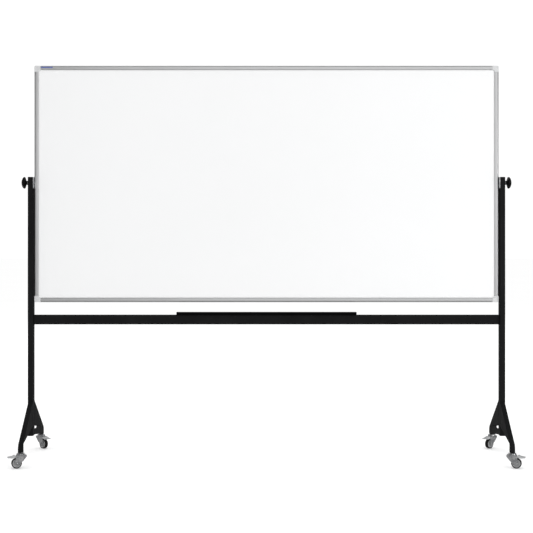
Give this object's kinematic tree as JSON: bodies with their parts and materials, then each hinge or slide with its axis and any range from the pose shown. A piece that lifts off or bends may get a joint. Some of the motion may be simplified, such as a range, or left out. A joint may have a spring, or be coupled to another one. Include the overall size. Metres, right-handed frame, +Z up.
{
  "type": "rolling whiteboard",
  "caption": "Revolving double-sided whiteboard in an aluminium frame, clamped between two black uprights on caster feet, with a crossbar and pen tray.",
  "frame": {"origin": "on the floor, at the centre of the whole object's footprint box", "axes": "+X to the reader's right along the board, +Y from the reader's side to the back, +Z up"},
  "size_m": [2.613, 0.6202, 2.066],
  "materials": {
    "black_paint": "satin black powder coat",
    "black_plastic": "smooth moulded",
    "aluminium_rail": "satin anodised",
    "grey_corner": "fine moulded",
    "white_steel": "glossy white enamel",
    "core_board": "plain",
    "zinc": "bright zinc plate",
    "grey_wheel": "fine moulded",
    "black_tyre": "smooth"
  },
  "bodies": {
    "stand": {"left_upright": "black_paint", "left_upright_cap": "black_plastic", "left_front_leg": "black_paint", "left_rear_leg": "black_paint", "left_foot_tie": "black_paint", "left_pivot_bush": "black_plastic", "right_upright": "black_paint", "right_upright_cap": "black_plastic", "right_front_leg": "black_paint", "right_rear_leg": "black_paint", "right_foot_tie": "black_paint", "right_pivot_bush": "black_plastic", "crossbar": "black_paint", "pen_tray": "black_paint", "front_left_caster_stem": "zinc", "front_right_caster_stem": "zinc", "rear_left_caster_stem": "zinc", "rear_right_caster_stem": "zinc"},
    "board": {"panel_core": "core_board", "front_writing_sheet": "white_steel", "back_writing_sheet": "white_steel", "top_rail": "aluminium_rail", "bottom_rail": "aluminium_rail", "left_rail": "aluminium_rail", "right_rail": "aluminium_rail", "top_left_corner": "grey_corner", "top_right_corner": "grey_corner", "bottom_left_corner": "grey_corner", "bottom_right_corner": "grey_corner", "left_pivot_plate": "zinc", "left_pivot_stud": "zinc", "right_pivot_plate": "zinc", "right_pivot_stud": "zinc"},
    "left_clamp": {"left_clamp_washer": "zinc"},
    "left_knob_grip": {"left_knob": "black_plastic", "left_knob_insert": "zinc"},
    "right_clamp": {"right_clamp_washer": "zinc"},
    "right_knob_grip": {"right_knob": "black_plastic", "right_knob_insert": "zinc"},
    "front_left_caster": {"front_left_caster_fork": "zinc", "front_left_caster_axle": "zinc"},
    "front_left_wheel": {"front_left_wheel_core": "grey_wheel", "front_left_wheel_tyre": "black_tyre"},
    "front_left_pedal": {"front_left_brake_pedal": "grey_wheel"},
    "front_right_caster": {"front_right_caster_fork": "zinc", "front_right_caster_axle": "zinc"},
    "front_right_wheel": {"front_right_wheel_core": "grey_wheel", "front_right_wheel_tyre": "black_tyre"},
    "front_right_pedal": {"front_right_brake_pedal": "grey_wheel"},
    "rear_left_caster": {"rear_left_caster_fork": "zinc", "rear_left_caster_axle": "zinc"},
    "rear_left_wheel": {"rear_left_wheel_core": "grey_wheel", "rear_left_wheel_tyre": "black_tyre"},
    "rear_left_pedal": {"rear_left_brake_pedal": "grey_wheel"},
    "rear_right_caster": {"rear_right_caster_fork": "zinc", "rear_right_caster_axle": "zinc"},
    "rear_right_wheel": {"rear_right_wheel_core": "grey_wheel", "rear_right_wheel_tyre": "black_tyre"},
    "rear_right_pedal": {"rear_right_brake_pedal": "grey_wheel"}
  },
  "joints": [
    {"name": "board_flip", "type": "hinge", "parent": "stand", "child": "board", "pos_m": [0, 0, 1.449], "axis": [1, 0, 0], "continuous": true},
    {"name": "left_knob_slide", "type": "slide", "parent": "stand", "child": "left_clamp", "axis": [-1, 0, 0], "range_m": [0, 0.0025]},
    {"name": "left_knob_turn", "type": "hinge", "parent": "left_clamp", "child": "left_knob_grip", "pos_m": [-1.2599, 0, 1.449], "axis": [-1, 0, 0], "range_deg": [0, 720]},
    {"name": "right_knob_slide", "type": "slide", "parent": "stand", "child": "right_clamp", "axis": [1, 0, 0], "range_m": [0, 0.0025]},
    {"name": "right_knob_turn", "type": "hinge", "parent": "right_clamp", "child": "right_knob_grip", "pos_m": [1.2599, 0, 1.449], "axis": [1, 0, 0], "range_deg": [0, 720]},
    {"name": "front_left_swivel", "type": "hinge", "parent": "stand", "child": "front_left_caster", "pos_m": [-1.24, -0.28, 0.07], "axis": [0, 0, 1], "continuous": true},
    {"name": "front_left_wheel_spin", "type": "hinge", "parent": "front_left_caster", "child": "front_left_wheel", "pos_m": [-1.25962, -0.28592, 0.026], "axis": [0.289, -0.9573, 0], "continuous": true},
    {"name": "front_left_pedal_press", "type": "hinge", "parent": "front_left_caster", "child": "front_left_pedal", "pos_m": [-1.26345, -0.28708, 0.057], "axis": [0.289, -0.9573, 0], "range_deg": [0, 12]},
    {"name": "front_right_swivel", "type": "hinge", "parent": "stand", "child": "front_right_caster", "pos_m": [1.24, -0.28, 0.07], "axis": [0, 0, 1], "continuous": true},
    {"name": "front_right_wheel_spin", "type": "hinge", "parent": "front_right_caster", "child": "front_right_wheel", "pos_m": [1.25962, -0.28592, 0.026], "axis": [0.289, 0.9573, 0], "continuous": true},
    {"name": "front_right_pedal_press", "type": "hinge", "parent": "front_right_caster", "child": "front_right_pedal", "pos_m": [1.26345, -0.28708, 0.057], "axis": [0.289, 0.9573, 0], "range_deg": [0, 12]},
    {"name": "rear_left_swivel", "type": "hinge", "parent": "stand", "child": "rear_left_caster", "pos_m": [-1.24, 0.28, 0.07], "axis": [0, 0, 1], "continuous": true},
    {"name": "rear_left_wheel_spin", "type": "hinge", "parent": "rear_left_caster", "child": "rear_left_wheel", "pos_m": [-1.2243, 0.26682, 0.026], "axis": [0.6428, 0.766, 0], "continuous": true},
    {"name": "rear_left_pedal_press", "type": "hinge", "parent": "rear_left_caster", "child": "rear_left_pedal", "pos_m": [-1.22123, 0.26425, 0.057], "axis": [0.6428, 0.766, 0], "range_deg": [0, 12]},
    {"name": "rear_right_swivel", "type": "hinge", "parent": "stand", "child": "rear_right_caster", "pos_m": [1.24, 0.28, 0.07], "axis": [0, 0, 1], "continuous": true},
    {"name": "rear_right_wheel_spin", "type": "hinge", "parent": "rear_right_caster", "child": "rear_right_wheel", "pos_m": [1.2243, 0.26682, 0.026], "axis": [0.6428, -0.766, 0], "continuous": true},
    {"name": "rear_right_pedal_press", "type": "hinge", "parent": "rear_right_caster", "child": "rear_right_pedal", "pos_m": [1.22123, 0.26425, 0.057], "axis": [0.6428, -0.766, 0], "range_deg": [0, 12]}
  ],
  "couplings": [
    {"joint": "left_knob_slide", "follows": "left_knob_turn", "m_per_rad": 0.0001989},
    {"joint": "right_knob_slide", "follows": "right_knob_turn", "m_per_rad": 0.0001989}
  ]
}
